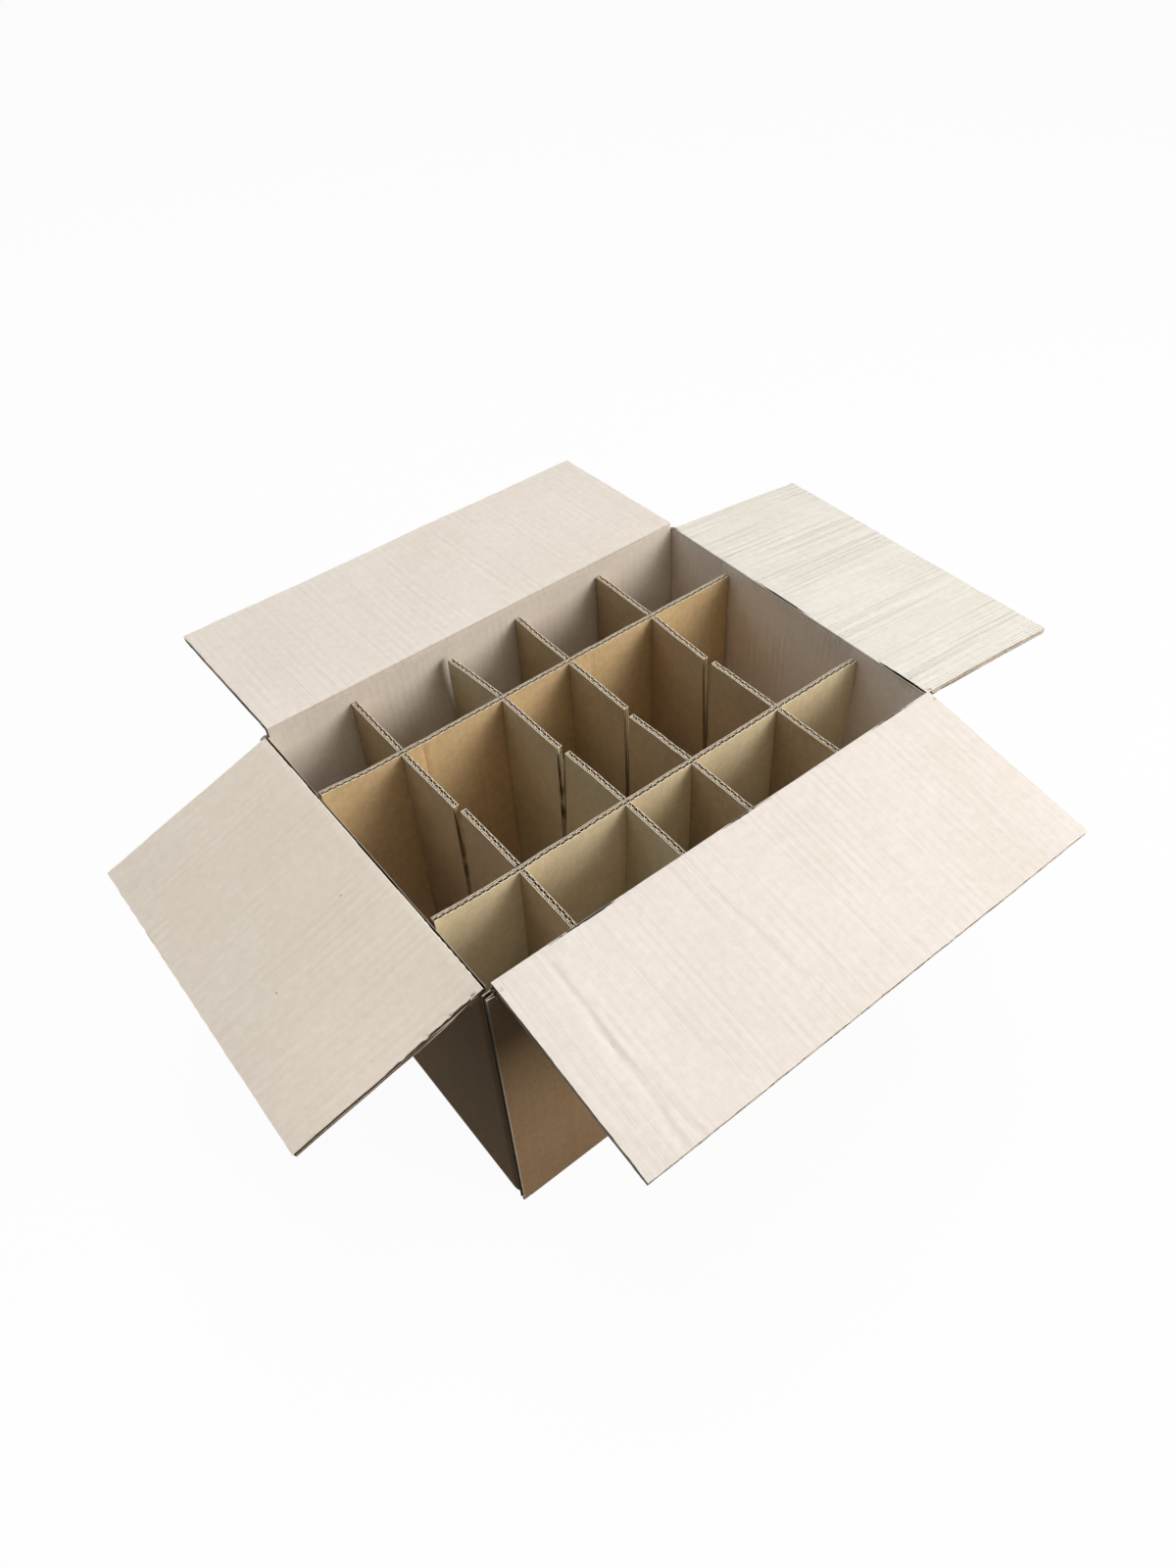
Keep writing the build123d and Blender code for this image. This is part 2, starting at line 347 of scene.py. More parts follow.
def paper_finish(name, light, dark, fleck, pitch, washboard, flute_shade, lines):
    """Kraft paper over flutes. Cloudy tone between light and dark; fine fibres drawn out
    across the flutes; a few darker flecks; faint uneven bands over the flute tips, which
    also sink a little, with the washboard's light and shade painted into the colour; and
    stray narrow press lines that run with the flutes, sunk and painted darker as shade."""
    material = bpy.data.materials.new(name)
    n = Nodes(material)
    place = n.add("ShaderNodeAttribute", attribute_name="flat_place").outputs["Vector"]
    solid = n.add("ShaderNodeTexCoord").outputs["Object"]
    across = n.add("ShaderNodeSeparateXYZ", {"Vector": place}).outputs["X"]

    clouds = n.noise(solid, 9.0, 3.0)
    mottle = n.noise(solid, 150.0, 4.0, 0.62)
    fibres = n.noise(n.stretched(place, (420.0, 1700.0, 900.0)), 1.0, 4.0, 0.65)
    specks = n.noise(n.stretched(place, (900.0, 2600.0, 900.0)), 1.0, 1.0)

    # Bands over the flutes, which wander and come and go; in the colour they are painted light and
    # shade of the washboard.
    wander = n.noise(n.stretched(place, (60.0, 6.0, 1.0)), 1.0, 2.0)
    turn = n.times(across, 2 * math.pi / (pitch * MM))
    turn = n.plus(turn, n.times(wander, 5.0))
    patches = n.noise(n.stretched(place, (30.0, 9.0, 1.0)), 1.0, 2.0)
    wave = n.times(n.math("SINE", turn), n.ramp(patches, 0.42, 0.70))

    # Press lines, wherever a stretched noise passes through its middle; they sink, and the colour
    # darkens along them as painted shade.
    drift = n.noise(n.stretched(place, (150.0, 1.0, 1.0)), 1.0, 2.0, 0.6)
    off_line = n.math("ABSOLUTE", n.minus(drift, 0.5))
    press = n.add(
        "ShaderNodeMapRange",
        {"Value": off_line, "From Min": 0.0, "From Max": 0.03, "To Min": 1.0, "To Max": 0.0},
        interpolation_type="SMOOTHSTEP",
    ).outputs["Result"]
    where = n.noise(n.stretched(place, (26.0, 4.0, 1.0)), 1.0, 1.0)
    press = n.times(press, n.ramp(where, 0.34, 0.66))

    tone = n.plus(n.times(clouds, 0.4), n.times(mottle, 0.6))
    tone = n.plus(tone, n.times(n.minus(fibres, 0.5), 0.35))
    # Painted light and shade: the washboard bands lighten and darken the colour, and the press
    # lines darken it.
    tone = n.plus(tone, n.times(wave, flute_shade))
    tone = n.minus(tone, n.times(press, 0.35 * lines))
    colour = n.mix(n.ramp(tone, 0.34, 0.66), (*dark, 1.0), (*light, 1.0))
    fleck_share = n.times(n.ramp(specks, 0.68, 0.78), 0.45)
    n.put(n.mix(fleck_share, colour, (*fleck, 1.0)), n.shader.inputs["Base Color"])

    rough = n.math("MULTIPLY_ADD", n.minus(mottle, 0.5), 0.16, 0.86)
    n.put(rough, n.shader.inputs["Roughness"])
    n.shader.inputs["Specular IOR Level"].default_value = 0.3
    relief = n.times(wave, 0.5 * washboard)
    relief = n.minus(relief, n.times(press, 0.45 * lines))
    surface = n.bump(fibres, 0.00006, n.bump(relief, 0.001))
    n.put(n.bump(mottle, 0.0002, surface), n.shader.inputs["Normal"])
    return material


def raw_finish(name, light, dark):
    """The rough paper of the flutes and of cut edges, with loose fibres."""
    material = bpy.data.materials.new(name)
    n = Nodes(material)
    solid = n.add("ShaderNodeTexCoord").outputs["Object"]
    coarse = n.noise(solid, 260.0, 3.0)
    fibres = n.noise(n.stretched(solid, (900.0, 900.0, 300.0)), 1.0, 4.0, 0.7)
    tone = n.plus(n.times(coarse, 0.5), n.times(fibres, 0.5))
    colour = n.mix(n.ramp(tone, 0.3, 0.7), (*dark, 1.0), (*light, 1.0))
    n.put(colour, n.shader.inputs["Base Color"])
    n.shader.inputs["Roughness"].default_value = 0.95
    n.shader.inputs["Specular IOR Level"].default_value = 0.2
    n.put(n.bump(fibres, 0.0002), n.shader.inputs["Normal"])
    return material


# Each paper's light and dark tone, the tone of its flecks, the pitch of the flutes below
# it, and how strong its washboard, its painted washboard shade and its press lines
# (sunk and painted darker) are.
PALE_FLECK = (0.55, 0.44, 0.33)
INNER = (PALE_FLECK, COARSE_PITCH, 0.20, 0.09, 0.30)
UPPER, LOWER = (COARSE_PITCH, 0.06, 0.03, 0.2), (FINE_PITCH, 0.05, 0.02, 0.2)
PAPERS = {
    "pale_inner_liner": ((0.87, 0.80, 0.725), (0.79, 0.71, 0.625), *INNER),
    # Painted light: the next three are tinted copies of the pale liner, one per flap, lighter and
    # warmer on the left flap, cooler on the front flap and more neutral on the right flap, for how
    # the light falls on each.
    "left_flap_light_tint_liner": (
        (0.895, 0.81, 0.70), (0.82, 0.72, 0.60), PALE_FLECK, COARSE_PITCH, 0.20, 0.10, 0.30,
    ),
    "front_flap_light_tint_liner": ((0.86, 0.80, 0.742), (0.785, 0.715, 0.645), *INNER),
    "right_flap_lined_light_tint_liner": (
        (0.855, 0.815, 0.75), (0.775, 0.73, 0.655), PALE_FLECK, COARSE_PITCH, 0.14, 0.06, 1.1,
    ),
    "kraft_outer_liner": (
        (0.40, 0.262, 0.142), (0.31, 0.198, 0.10), (0.16, 0.10, 0.055),
        FINE_PITCH, 0.04, 0.02, 0.2,
    ),
    "divider_golden_liner": ((0.77, 0.58, 0.335), (0.62, 0.445, 0.235), (0.30, 0.19, 0.09), *UPPER),
    "divider_straw_liner": ((0.89, 0.765, 0.51), (0.73, 0.61, 0.39), (0.34, 0.25, 0.13), *UPPER),
    "divider_olive_liner": ((0.545, 0.42, 0.265), (0.445, 0.33, 0.195), (0.25, 0.17, 0.09), *LOWER),
    "divider_light_olive_liner": (
        (0.68, 0.60, 0.42), (0.56, 0.48, 0.315), (0.30, 0.23, 0.13), *LOWER,
    ),
}
RAW_PAPERS = {
    # Painted shade: the flute papers are darker than the liners, as medium paper is, and darker
    # still to stand in for the shade down the flute hollows; the dividers' are darkest.
    "carton_flute_paper": ((0.26, 0.18, 0.11), (0.15, 0.10, 0.06)),
    "divider_shaded_flute_paper": ((0.14, 0.092, 0.05), (0.08, 0.052, 0.028)),
    "carton_cut_edge": ((0.84, 0.77, 0.66), (0.60, 0.50, 0.38)),
    "divider_cut_edge": ((0.88, 0.79, 0.63), (0.64, 0.52, 0.36)),
}
FINISHES = {name: paper_finish(name, *values) for name, values in PAPERS.items()}
FINISHES.update((name, raw_finish(name, *tones)) for name, tones in RAW_PAPERS.items())


def carton_finishes(flap_name=None):
    """The carton's four finishes. The upper papers of three flaps are tinted copies of
    the pale liner, painted light for how the light falls on each flap.
    """
    upper = {
        "front_flap": "front_flap_light_tint_liner",
        "left_end_flap": "left_flap_light_tint_liner",
        "right_end_flap": "right_flap_lined_light_tint_liner",
    }.get(flap_name, "pale_inner_liner")
    names = (upper, "kraft_outer_liner", "carton_flute_paper", "carton_cut_edge")
    return [FINISHES[name] for name in names]


def divider_finishes(name):
    """A divider's four finishes. Some boards are cut from lighter, greener paper."""
    upper, lower = {
        "long_divider_front": ("straw", "olive"),
        "cross_divider_back_2": ("straw", "light_olive"),
        "cross_divider_front_2": ("straw", "light_olive"),
    }.get(name, ("golden", "olive"))
    parts = (upper + "_liner", lower + "_liner", "shaded_flute_paper", "cut_edge")
    return [FINISHES["divider_" + part] for part in parts]


# ---- the carton's walls


def arc(centre, radius, start, end):
    """A corner's points on a circle, from one angle to the other, in degrees."""
    angle = np.radians(np.linspace(start, end, CORNER_POINTS))
    return np.stack([centre[0] + radius * np.cos(angle), centre[1] + radius * np.sin(angle)], 1)


def wall_lines():
    """The inner and outer face seen from above, as two matched rows of points. The blank
    is one strip, from the fold behind the front wall by the left, back, right and front
    wall to the raw edge of the joint. Outside, each fold is a quarter circle of 5 mm, the
    one beside the joint of 9.5 mm; inside is a sharp nick 1.4 mm deep."""
    inner, outer = [], []
    corners = (
        ((-225, -155.5), (-228, -160.5), 270, 180),
        ((-229.5, 166), (-228, 164.5), 180, 90),
        ((229.5, 166), (228, 164.5), 90, 0),
        ((229.5, -166), (228, -164.5), 0, -90),
    )
    nick = np.array([0.0, 0.0, 0.15, 0.6, 1.4, 0.6, 0.15, 0.0, 0.0])
    for outer_centre, inner_centre, start, end in corners:
        outer.append(arc(outer_centre, OUTER_X - abs(outer_centre[0]), start, end))
        outward = np.sign(inner_centre)
        spot = arc(inner_centre, 0.5, start, end)
        spot[CORNER_POINTS // 2] = np.array(inner_centre) + 0.5 * outward
        inner.append(spot + nick[:, None] * outward)
    outer.append(np.array([[-OUTER_X, -OUTER_Y]]))
    inner.append(np.array([[-OUTER_X, -INNER_Y]]))
    inner, outer = np.concatenate(inner), np.concatenate(outer)
    middle = (inner + outer) / 2
    run = np.concatenate([[0], np.cumsum(np.linalg.norm(np.diff(middle, axis=0), axis=1))])
    return run, inner, outer


WALL_RUN, WALL_INNER, WALL_OUTER = wall_lines()
# Where the straight runs start and end: left wall, back wall, right wall, front wall.
WALL_SPANS = tuple(
    zip(WALL_RUN[CORNER_POINTS - 1 :: CORNER_POINTS], WALL_RUN[CORNER_POINTS::CORNER_POINTS])
)


def wall_spot(a, share):
    """Place seen from above: share 1 is the inner face of the board, 0 the outer."""
    spots = []
    for axis in (0, 1):
        inside = np.interp(a, WALL_RUN, WALL_INNER[:, axis])
        outside = np.interp(a, WALL_RUN, WALL_OUTER[:, axis])
        spots.append(outside + (inside - outside) * share)
    return spots


def fold_height(a):
    """Height of the crease: the long walls fold one board higher than the end walls."""
    x, _ = wall_spot(a, 1.0)
    _, (back_start, back_end), _, (front_start, _) = WALL_SPANS
    on_long = ((a > back_start) & (a < back_end)) | (a > front_start)
    return np.where(on_long & (np.abs(x) < LONG_CREASE_END), LONG_FOLD, END_FOLD)


def pinch(a, c):
    """How far a board's slanted end keeps off its crease: it is cut at 45 degrees inside
    and at 75 degrees outside, to a line."""
    return CREASE_GAP + np.abs(c) * np.where(c > 0, 1.0, CREASE_SLOPE)


def in_corner(a):
    """True where the strip passes a corner, clear of the flaps' ends."""
    x, y = wall_spot(a, 0.0)
    return (np.abs(x) > POST_X) & (np.abs(y) > POST_Y)


def wall_top(a, c):
    """Cut at the crease. At the corners the paper isn't creased down and stands as a low
    frayed post."""
    x, y = wall_spot(a, 0.0)
    post = np.where((x < 0) & (y < 0), JOINT_POST, POST) + 1.1 * ripple(a, 9.0 * c, 71, 7.0)
    return np.where(in_corner(a), post, fold_height(a) - pinch(a, c))


def wall_foot(a, c):
    """The walls end on the bottom flaps, and reach lower at the four corners."""
    x, _ = wall_spot(a, 1.0)
    return np.where(np.abs(x) > CORNER_FOOT_X, CORNER_FOOT, WALL_FOOT)


def wall_bow(a, z):
    """How far a wall leans inwards off its flat place: a soft swell, still at the
    corners, at the foot and at the crease."""
    x, y = wall_spot(a, 1.0)
    from_corner = np.abs(np.abs(x) - INNER_X) + np.abs(np.abs(y) - INNER_Y)
    calm = smooth(from_corner, 5.0, 90.0) * smooth(z, 15.0, 120.0) * (1 - smooth(z, 250.0, 322.0))
    return calm * 1.6 * ripple(a, z, 5, 260.0)


def rounded_in(past):
    """How far a foot draws in, at a distance past the start of its quarter circle."""
    past = np.clip(past, 0.0, FOOT_ROUNDING)
    return FOOT_ROUNDING - np.sqrt(FOOT_ROUNDING**2 - past**2)


def place_wall(flat):
    """Wraps the flat strip round the box. Near the foot the outer face turns in, and the
    walls bow a little."""
    a, z, c = flat.T
    turn_in = rounded_in(wall_foot(a, c) + FOOT_ROUNDING - z) * (c < -2.0)
    x, y = wall_spot(a, (c + HALF + turn_in) / BOARD)
    inner_x, inner_y = wall_spot(a, 1.0)
    outer_x, outer_y = wall_spot(a, 0.0)
    lean = wall_bow(a, z) / np.hypot(inner_x - outer_x, inner_y - outer_y)
    return np.stack([x + lean * (inner_x - outer_x), y + lean * (inner_y - outer_y), z], axis=1)


def wall_marks():
    """Where the strip needs points: in its corners, along its walls, and on both sides
    of each sudden change of height near a corner."""
    marks = [WALL_RUN, WALL_RUN[-1:] - JOINT_EDGE]
    for start, end in WALL_SPANS:
        marks.append(steps(start + 0.5, end - 0.5, 9.0))
        for low, high in ((start, start + 12.0), (end - 12.0, end)):
            line = np.arange(low, high, 0.02)
            on_long, on_corner = fold_height(line) == LONG_FOLD, wall_foot(line, 0) == CORNER_FOOT
            for rule in (in_corner(line), on_long, on_corner):
                swap = line[:-1][np.diff(rule.astype(int)) != 0]
                marks += [swap - 0.02, swap + 0.04]
    return np.unique(np.round(np.concatenate(marks), 2))


def wall_papers():
    """Three liners round the box, and the fluted layers as two bodies that stop short of
    the raw edges, where they show as dark hollows, their paper darkened as painted shade."""
    rows = np.concatenate(
        [[0, 0.002, 0.005, 0.0095], np.linspace(0.04, 0.9, 14), [0.94, 0.97, 0.99, 1.0]]
    )
    a = wall_marks()
    papers = [
        slab(a, rows, HALF - LINER, HALF, wall_foot, wall_top, (PALE, HOLLOW, EDGE, EDGE)),
        slab(a, rows, *MIDDLE_LINER, wall_foot, wall_top, (HOLLOW, HOLLOW, EDGE, EDGE)),
        slab(a, rows, -HALF, LINER - HALF, wall_foot, wall_top, (HOLLOW, KRAFT, EDGE, EDGE)),
    ]
    points, faces, kinds = papers[2]
    at_joint = points[faces].mean(axis=1)[:, 0] > a[-1] - JOINT_EDGE
    papers[2] = points, faces, np.where(at_joint & (kinds == KRAFT), EDGE, kinds)
    core_a = a[(a > a[0] + 0.01) & (a < a[-1] - CORE_SIDE_GAP)]

    def core_top(a, c):
        return wall_top(a, c) - CORE_TOP_GAP

    for low, high in ((-0.5, HALF - LINER), (LINER - HALF, -1.0)):
        papers.append(slab(core_a, rows, low, high, wall_foot, core_top, (HOLLOW,) * 4))
    return papers


def tab_papers():
    """The glued tab, a flat tongue behind the front wall with both its ends cut at a
    slant; a runs along +x here, b up and c towards the back."""
    x = np.linspace(TAB_START, TAB_START + TAB_LENGTH, 12)
    rows = np.linspace(0, 1, 16)
    front, core_front, core_back, back = TAB_FACES

    def slant(a):
        return TAB_SLANT * (a - TAB_START) / TAB_LENGTH

    def foot(a, c):
        return TAB_FOOT + slant(a)

    def top(a, c):
        return TAB_TOP - slant(a)

    return [
        slab(x, rows, front, core_front, foot, top, (HOLLOW, KRAFT, EDGE, EDGE)),
        slab(x[:-1], rows, core_front, core_back, foot, top, (HOLLOW, HOLLOW, EDGE, HOLLOW)),
        slab(x, rows, core_back, back, foot, top, (PALE, HOLLOW, EDGE, EDGE)),
    ]


def height_slab(x, y, low, high):
    """A closed body between two heights over a grid of x and y, pale on top."""
    points = np.concatenate([np.stack([x, y, z], 2).reshape(-1, 3) for z in (high, low)])
    faces = closed_faces(*x.shape)
    kinds = np.full(len(faces), KRAFT)
    kinds[: (x.shape[0] - 1) * (x.shape[1] - 1)] = PALE
    return points, faces, kinds


def bottom_papers():
    """Half of the closed bottom: a long flap that reaches the middle, with the foot of
    its wall and its rounded fold, and an end flap on top of it. Here a and b lie along
    x and y, and c is the height."""
    rounding = OUTER_Y - FOOT_ROUNDING + FOOT_ROUNDING * np.sin(np.linspace(0, math.pi / 2, 8))
    across = np.concatenate([steps(0.5, INNER_Y - 0.1, 15.0), [INNER_Y], rounding])
    x, y = np.meshgrid(steps(-LONG_FLAP_HALF, LONG_FLAP_HALF, 24.0), across)
    low = rounded_in(y - (OUTER_Y - FOOT_ROUNDING))
    high = np.where(y >= INNER_Y, WALL_FOOT + FOOT_ROUNDING, BOARD)
    long_flap = height_slab(x, y, low, high)
    reach = steps(END_PIVOT - FLAP_REACH, END_PIVOT - 0.5, 15.0)
    x, y = np.meshgrid(reach, steps(-END_FLAP_HALF, END_FLAP_HALF, 15.0))
    low = np.full_like(x, WALL_FOOT)
    return [long_flap, height_slab(x, y, low, low + BOARD)]


def carton():
    """The walls, the glued tab and the bottom as one piece. Each part has its points on
    the flat sheet and in the box's frame."""
    parts = [(flat, place_wall(flat), faces, kinds) for flat, faces, kinds in wall_papers()]
    for flat, faces, kinds in tab_papers():
        # With b up and c along y the faces point inwards, so they are turned over.
        parts.append((flat, flat[:, [0, 2, 1]], faces[:, ::-1], kinds))
    for flat, faces, kinds in bottom_papers():
        for half_turn in ((1, 1, 1), (-1, -1, 1)):
            parts.append((flat, flat * half_turn, faces, kinds))
    papers = [part[1:] for part in parts]
    on_sheet = np.concatenate([part[0] for part in parts])
    piece = make_piece("carton_box_board", papers, np.asarray, carton_finishes(), on_sheet)
    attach(piece, "carton")
    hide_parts("carton_body")


# ---- the top flaps


def to_side(x, y, z, turn):
    """Points of the front side, turned about the upright axis to a flap's own side."""
    side = math.radians(turn)
    return np.stack(
        [x * math.cos(side) - y * math.sin(side), x * math.sin(side) + y * math.cos(side), z], -1
    )


def hung(x, y, z, shape):
    """From a flap's upright place to where it hangs: turned outwards about its crease by
    90 degrees and its droop, then round to its side of the box."""
    tilt = math.radians(90.0 + shape["droop"])
    y, z = y * math.cos(tilt) - z * math.sin(tilt), y * math.sin(tilt) + z * math.cos(tilt)
    return to_side(x, y - shape["pivot"], z + shape["height"], shape["turn"])


# Each flap's crease, its droop below level, its side of the box, the seed of its swell
# and the height of the slow wave along its fold.
LONG_CREASE = dict(half=LONG_FLAP_HALF, pivot=LONG_PIVOT, height=LONG_FOLD)
END_CREASE = dict(half=END_FLAP_HALF, pivot=END_PIVOT, height=END_FOLD)
FLAPS = {
    "front_flap": dict(LONG_CREASE, droop=11.0, turn=0.0, seed=11, wave=0.3),
    "back_flap": dict(LONG_CREASE, droop=2.0, turn=180.0, seed=12, wave=0.35),
    "left_end_flap": dict(END_CREASE, droop=18.5, turn=-90.0, seed=13, wave=0.25),
    "right_end_flap": dict(END_CREASE, droop=7.0, turn=90.0, seed=14, wave=1.0),
}
FLAP_ROWS = np.concatenate([[0, 0.012, 0.03], np.linspace(0.05, 0.98, 56), [0.99, 1.0]])
FLAP_FEW = np.array([0, 0.05, 0.15, 0.3, 0.45, 0.6, 0.75, 0.88, 1.0])
FRAY_WIDTH = 2.5


def flap_warp(name, a, b):
    """How far a flap's face stands above its flat plane: a soft swell, up on the end flaps
    and down on the long ones so that they lie clear of each other when closed, and on the
    left flap a corner that stands up."""
    free = smooth(b, 12.0, 110.0)
    swell = 0.45 * (1.0 + ripple(a, b, FLAPS[name]["seed"], 190.0))
    warp = free * (swell if "end" in name else -swell)
    if name == "left_end_flap":
        near_corner = smooth(-a, -60.0, 175.0)
        warp = warp * (1 - near_corner) + 11.4 * smooth(b, 14.0, 185.0) * near_corner**1.6
    return warp


# Fold marks on the flaps: start, end, depth and width.
FLAP_CREASES = {
    "front_flap": (
        ((183, 5), (191, 167), 0.95, 3), ((188.5, 62), (178, 168), 0.65, 2.8),
        ((53, 22), (44, 130), 0.5, 2.6), ((19, 58), (23, 162), 0.4, 2),
        ((-160, 52), (-170, 165), 0.35, 2), ((-179, 80), (-171, 150), 0.35, 2),
    ),
    "back_flap": (
        ((41.5, 9), (38.5, 160), 0.7, 2.4), ((49.5, 40), (45, 146), 0.55, 1.6),
        ((-40, 160), (-20, 166), 0.8, 1.5), ((140, 20), (136, 120), 0.3, 2),
    ),
    "left_end_flap": (
        ((-96, 165), (-108, 70), 0.65, 2.8), ((-131, 160), (-157, 45), 0.7, 2.8),
        ((-94, 120), (-126, 8), 0.5, 2.8), ((-59, 167), (-68, 105), 0.4, 1.7),
        ((60, 166), (52, 80), 0.3, 2),
    ),
    "right_end_flap": (
        ((-80, 30), (-80, 168), 0.7, 1.6), ((-112, 70), (-108, 167), 0.4, 1.4),
        ((-5, 25), (-1, 168), 0.75, 1.6), ((24, 20), (28, 120), 0.4, 1.4),
        ((60, 30), (62, 168), 0.7, 1.6), ((84, 60), (88, 167), 0.45, 1.4),
        ((117, 12), (121, 148), 0.6, 1.6), ((-40, 50), (-44, 160), 0.4, 1.4),
    ),
}

# Small loose bits on a flap: (a, b), size along a and b, height of the curl, finish.
FLAP_BITS = {
    "left_end_flap": (
        ((-161.5, 26), (3.2, 4.5), 2.4, EDGE),
        ((-161, 6), (2.6, 5), 1.6, EDGE),
        ((-161.8, 47), (1.6, 3), 1.2, EDGE),
        ((-18.6, 32.8), (1.3, 0.9), 0, HOLLOW),
        ((-47.7, 113.3), (1.3, 0.9), 0, HOLLOW),
    ),
    "front_flap": (((223, 6), (3, 3), 0.2, EDGE), ((-224, 6), (2.6, 3), 0.2, EDGE)),
    "right_end_flap": (((160.5, 4), (2.8, 4), 1.5, EDGE),),
}


def bit(spot, size, curl, kind):
    """A scrap of paper on a flap's face, its middle at spot. It narrows to its far end
    and curls up towards the flap's side edge: c = 3.05 + curl s^2, s running 0 to 1."""
    a = spot[0] + size[0] * np.linspace(-0.5, 0.5, 7)
    s = np.linspace(0.0, 1.0, 7) if spot[0] > 0 else np.linspace(1.0, 0.0, 7)
    height = HALF + 0.05 + curl * s**2
    share = 0.5 * (1.0 - 0.6 * s**3)

    def foot(a_grid, c):
        return spot[1] - size[1] * np.interp(a_grid, a, share)

    def top(a_grid, c):
        return spot[1] + size[1] * np.interp(a_grid, a, share * 0.8)

    return slab(a, np.linspace(0, 1, 5), height, height + 0.25, foot, top, (kind,) * 4)


def fray(name, a, b, c):
    """How far a flap's side edge is worn back, each paper by its own small waves; the
    left flap's front edge is torn along its first half."""
    worn = 0.25 * np.maximum(1 + ripple(b, 11.0 * c, 61, 13.0), 0.0)
    if name == "left_end_flap":
        torn = smooth(-a, 0.0, 100.0) * (1 - smooth(b, 70.0, 95.0))
        worn = worn + torn * 1.1 * np.maximum(1 + ripple(b, 17.0 * c, 63, 9.0), 0.0)
    return worn


def flap(name):
    """One top flap: the board's five papers from its pinched root to its raw tip."""
    shape = FLAPS[name]
    half, droop = shape["half"], math.radians(shape["droop"])
    tip = level(FLAP_REACH)
    papers = board(-half, half, pinch, tip, FLAP_ROWS, FLAP_FEW, EDGE)
    papers += [bit(*values) for values in FLAP_BITS.get(name, ())]
    for end in (-1.0, 1.0):
        if (name, end) != ("left_end_flap", -1.0):
            papers.append(closed_end(end * (half - 0.5), pinch, tip, FLAP_ROWS, EDGE))

    def place(flat):
        a, b, c = flat.T
        lift = flap_warp(name, a, b)
        marks = sum(crease(a, b, *mark) for mark in FLAP_CREASES[name])
        c = c + marks * smooth(c, -HALF, 2.0)
        at_side = smooth(np.abs(a), half - FRAY_WIDTH, half)
        a = a - np.sign(a) * at_side * fray(name, a, b, c)
        at_tip = smooth(b, FLAP_REACH - FRAY_WIDTH, FLAP_REACH)
        b = b - at_tip * 0.35 * np.maximum(1 + ripple(a, 11.0 * c, 62, 13.0), 0.0)
        return hung(-a, c + lift * math.cos(droop), b - lift * math.sin(droop), shape)

    piece = make_piece(name + "_board", papers, place, carton_finishes(name))
    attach(piece, name)
    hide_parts(name)


def strip(name, spots, body, layer, flat_b):
    """A thin paper strip along a crease, from the section points of its outer and inner
    skin: spots holds (a, out, up) grids, out and up measured from the crease's pivot.
    layer is inner or outer, and flat_b the rows' places on the flat sheet."""
    shape = FLAPS[name]
    skins = [
        to_side(-a, -shape["pivot"] - out, shape["height"] + up, shape["turn"]).reshape(-1, 3)
        for a, out, up in spots
    ]
    a = spots[0][0]
    flat = np.stack([a, np.broadcast_to(flat_b, a.shape), np.full(a.shape, HALF)], 2)
    papers = [(np.concatenate(skins), closed_faces(*a.shape), 0)]
    finish = carton_finishes(name)[PALE if layer == "inner" else KRAFT]
    half = "wall" if body == "carton" else "flap"
    label = f"{name.replace('flap', 'fold')}_{half}_{layer}_liner"
    on_sheet = np.concatenate([flat.reshape(-1, 3)] * 2)
    piece = make_piece(label, papers, np.asarray, (finish,), on_sheet)
    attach(piece, body)


def inner_section(a, shape, angle, below, beyond, under):
    """Both skins of an inner fold strip, as (a, out, up) grids with a row per angle.
    below and beyond are how far a row lies down the wall and out on the flap, and under
    marks the rows that dip under the other strip.

    With u and v the angles to the wall's and the flap's normal, radius = INNER_FOLD /
    (cos^6 u + cos^6 v)^(1/6), less the puckers, plus a slow wave at the corner."""
    droop = math.radians(shape["droop"])
    run = (below + beyond)[:, None]
    a_grid, angle_grid = np.meshgrid(a, angle)
    to_wall = np.maximum(np.cos(angle_grid - math.pi), 0.0)
    to_flap = np.maximum(np.cos(angle_grid - (math.pi / 2 - droop)), 0.0)
    pucker = 0.06 * (1 - np.cos(2 * math.pi * a_grid / COARSE_PITCH))
    pucker = pucker + 0.18 * (1 + ripple(a_grid, 0 * a_grid, 31, 60.0))
    wave = shape["wave"] * np.maximum(ripple(a_grid, 0 * a_grid, 33, 95.0), 0.0)
    wave = wave * 2 * to_wall * to_flap
    radius = INNER_FOLD / (to_wall**6 + to_flap**6) ** (1 / 6) + np.where(run > 0, 0.0, wave)
    radius = radius - (1 - smooth(run, 0.0, 2.6)) * pucker * 0.45
    radius = radius + 0.17 * smooth(run, 0.2, 2.8) - 0.5 * smooth(run, 6.5, 10.0)
    radius = np.where(under[:, None] > 0, np.minimum(radius - 0.45, 2.4), radius)
    spots = []
    for skin in (0.0, FOLD_SKIN):
        out = (radius - skin) * np.cos(angle_grid) + (beyond * math.cos(droop))[:, None]
        up = (radius - skin) * np.sin(angle_grid) - below[:, None]
        up = np.minimum(up - (beyond * math.sin(droop))[:, None], INNER_FOLD)
        spots.append((a_grid, out, up))
    return spots


